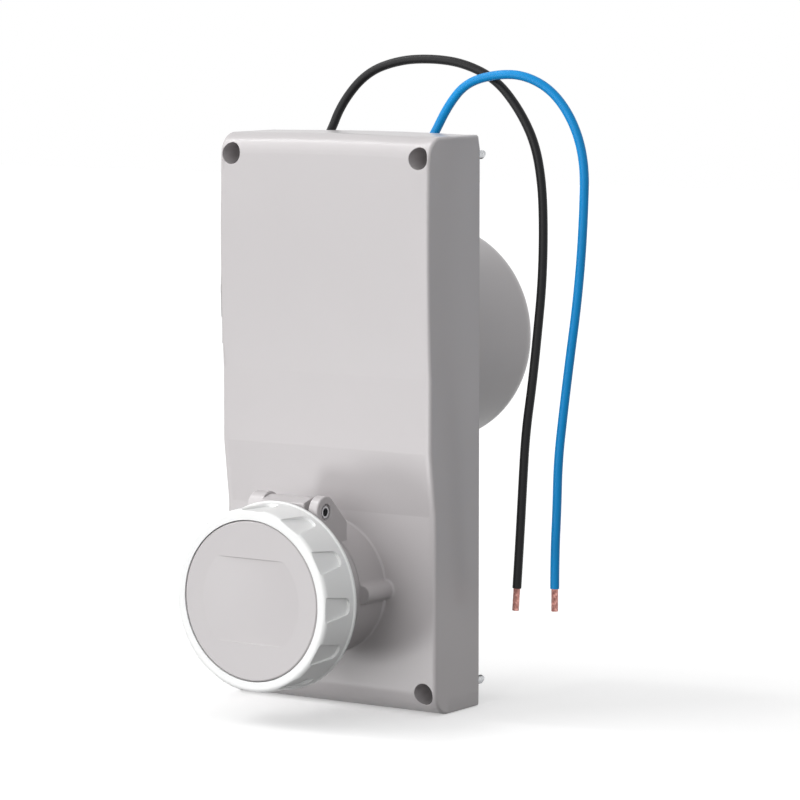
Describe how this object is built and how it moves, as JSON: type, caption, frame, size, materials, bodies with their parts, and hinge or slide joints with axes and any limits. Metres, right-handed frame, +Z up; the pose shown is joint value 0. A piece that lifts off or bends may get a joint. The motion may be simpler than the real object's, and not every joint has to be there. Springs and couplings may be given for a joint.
{
  "type": "industrial wall socket",
  "caption": "Watertight wall socket with a bayonet-locked hinged lid on a tall grey cover, a round transformer cup behind it and bare supply leads.",
  "frame": {"origin": "centre of the four cover screws, on the plane of the cover's back rim, where it meets the wall", "axes": "+X to the right as seen from the front, +Y into the wall, +Z up"},
  "size_m": [0.1681, 0.164, 0.3003],
  "materials": {
    "grey_plastic": "moulded, fine satin grain",
    "white_plastic": "moulded, smooth satin",
    "black_plastic": "moulded, matt",
    "seal_rubber": "matt",
    "zinc_steel": "zinc plated",
    "spring_steel": "drawn wire",
    "contact_brass": "turned, nickel flash",
    "core_steel": "wound strip",
    "winding_tape": "polyester tape over enamelled wire",
    "black_insulation": "extruded, satin",
    "blue_insulation": "extruded, satin",
    "copper": "bare copper strand"
  },
  "bodies": {
    "housing": {"cover_housing": "grey_plastic", "rear_gasket": "seal_rubber", "cover_screws": "zinc_steel", "screw_seals": "seal_rubber", "hinge_pin": "zinc_steel", "lid_spring": "spring_steel", "contact_carrier": "black_plastic", "carrier_seal": "seal_rubber", "carrier_screws": "zinc_steel", "contact_sleeve_left": "contact_brass", "contact_sleeve_right": "contact_brass", "terminal_screws": "zinc_steel", "transformer_cup": "grey_plastic", "cup_cover": "black_plastic", "cup_screws": "zinc_steel", "toroid_core": "core_steel", "toroid_winding": "winding_tape", "toroid_pad_rear": "seal_rubber", "toroid_pad_front": "seal_rubber", "clamp_disc": "zinc_steel", "clamp_bolt": "zinc_steel", "bolt_insert": "contact_brass", "lead_saddles": "black_plastic", "saddle_screws": "zinc_steel", "lead_black": "black_insulation", "lead_blue": "blue_insulation", "black_copper_end": "copper", "blue_copper_end": "copper", "inner_lead_black": "black_insulation", "inner_lead_blue": "blue_insulation", "secondary_wires": "black_insulation"},
    "lid": {"lid_cap": "grey_plastic", "lid_seal": "seal_rubber", "ring_retainer": "spring_steel"},
    "ring": {"bayonet_ring": "white_plastic"}
  },
  "joints": [
    {"name": "lid_hinge", "type": "hinge", "parent": "housing", "child": "lid", "pos_m": [0, -0.0683, -0.0372], "axis": [-1, 0, 0], "range_deg": [0, 115], "stiffness_Nm_per_rad": 0.05, "springref_deg": -57.3, "deforming": ["lid_spring"]},
    {"name": "ring_turn", "type": "hinge", "parent": "lid", "child": "ring", "pos_m": [0, -0.09, -0.0756], "axis": [0, 1, 0], "range_deg": [0, 45]}
  ]
}
